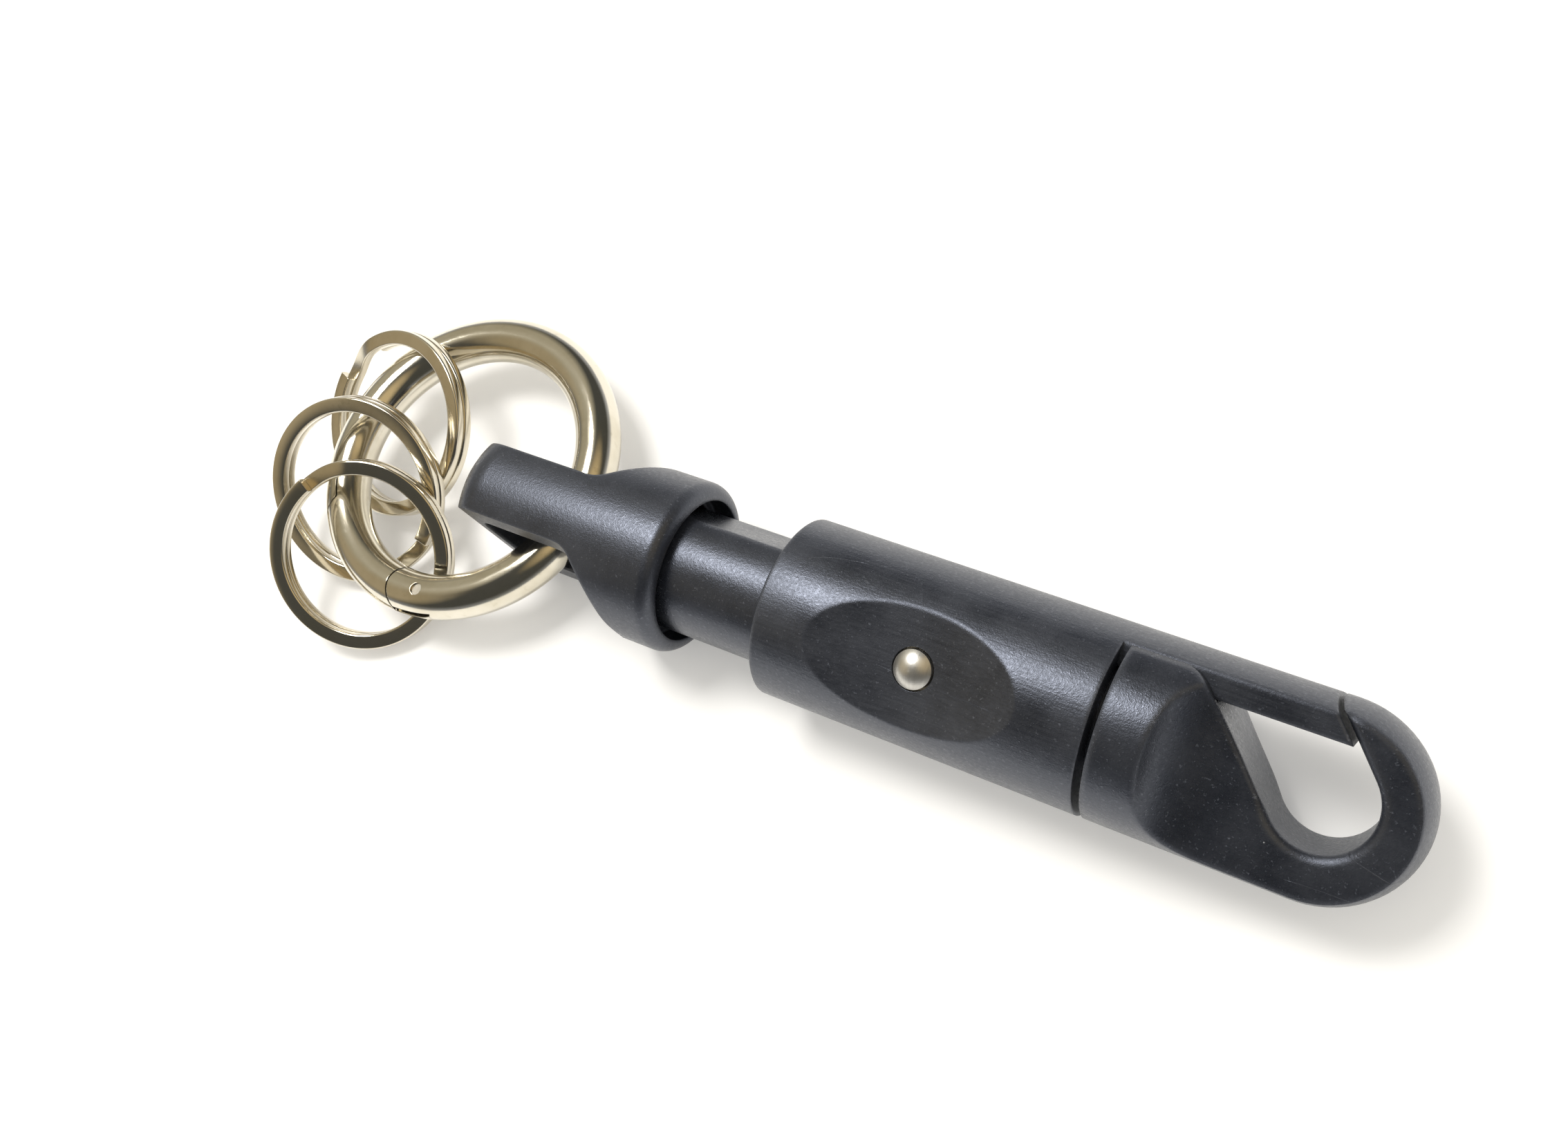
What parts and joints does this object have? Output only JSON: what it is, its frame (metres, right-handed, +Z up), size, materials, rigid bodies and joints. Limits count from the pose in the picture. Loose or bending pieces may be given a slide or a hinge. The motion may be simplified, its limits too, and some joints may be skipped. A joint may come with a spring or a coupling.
{
  "type": "belt key clip",
  "caption": "Belt hook with a throat closed by a sprung sliding sleeve, a push button, a swivel cap, a hinged gate ring and split rings for keys.",
  "frame": {"origin": "centre of the hook's round outer end, on the clip's long axis, inside the hook's eye", "axes": "+X along the clip's long axis, from the rings towards the hook; +Z up from the table that the clip lies on"},
  "size_m": [0.1143, 0.0374, 0.016],
  "materials": {
    "black_body": "satin black anodised",
    "block_metal": "machined",
    "screw_steel": "zinc plated, fine turned",
    "button_nickel": "satin nickel plated",
    "spring_steel": "drawn wire",
    "plug_brass": "turned",
    "washer_brass": "stamped and tumbled",
    "ring_nickel": "polished nickel plated",
    "pin_steel": "ground",
    "split_nickel": "polished nickel plated"
  },
  "bodies": {
    "core": {"hook_body": "black_body", "end_plug": "plug_brass", "swivel_washer": "washer_brass", "swivel_screw": "screw_steel", "return_spring": "spring_steel"},
    "sleeve": {"sleeve": "black_body", "carrier_block": "block_metal", "carrier_screw": "screw_steel", "button_spring": "spring_steel"},
    "button": {"push_button": "button_nickel"},
    "cap": {"swivel_cap": "black_body"},
    "ring": {"ring_body": "ring_nickel", "gate_pin": "pin_steel", "gate_spring": "spring_steel"},
    "gate": {"ring_gate": "ring_nickel"},
    "split_1": {"split_ring_1": "split_nickel"},
    "split_2": {"split_ring_2": "split_nickel"},
    "split_3": {"split_ring_3": "split_nickel"}
  },
  "joints": [
    {"name": "sleeve_slide", "type": "slide", "parent": "core", "child": "sleeve", "axis": [-1, 0, 0], "range_m": [0, 0.0095], "stiffness_N_per_m": 400, "springref_m": -0.004, "deforming": ["return_spring"]},
    {"name": "button_press", "type": "slide", "parent": "sleeve", "child": "button", "axis": [0, 0.4337, -0.9011], "range_m": [0, 0.0012], "stiffness_N_per_m": 600, "springref_m": -0.001, "deforming": ["button_spring"]},
    {"name": "cap_swivel", "type": "hinge", "parent": "core", "child": "cap", "pos_m": [-0.06, 0, 0], "axis": [1, 0, 0], "continuous": true},
    {"name": "ring_swing", "type": "hinge", "parent": "cap", "child": "ring", "pos_m": [-0.07195, 0, 0], "axis": [0, 1, 0], "range_deg": [0, 105]},
    {"name": "gate_swing", "type": "hinge", "parent": "ring", "child": "gate", "pos_m": [-0.0831, -0.011, -0.00213], "axis": [0.0147, 0, -0.9999], "range_deg": [0, 16], "stiffness_Nm_per_rad": 0.02, "springref_deg": -17.19, "deforming": ["gate_spring"]},
    {"name": "split_1_turn", "type": "hinge", "parent": "ring", "child": "split_1", "pos_m": [-0.08576, 0.00269, -0.00217], "axis": [-0.0147, 0, 0.9999], "range_deg": [-100, 0]},
    {"name": "split_2_turn", "type": "hinge", "parent": "ring", "child": "split_2", "pos_m": [-0.08576, 0.00269, -0.00217], "axis": [-0.0147, 0, 0.9999], "range_deg": [0, 12]},
    {"name": "split_3_turn", "type": "hinge", "parent": "split_2", "child": "split_3", "pos_m": [-0.08576, 0.00269, -0.00217], "axis": [-0.0147, 0, 0.9999], "range_deg": [0, 14]}
  ]
}
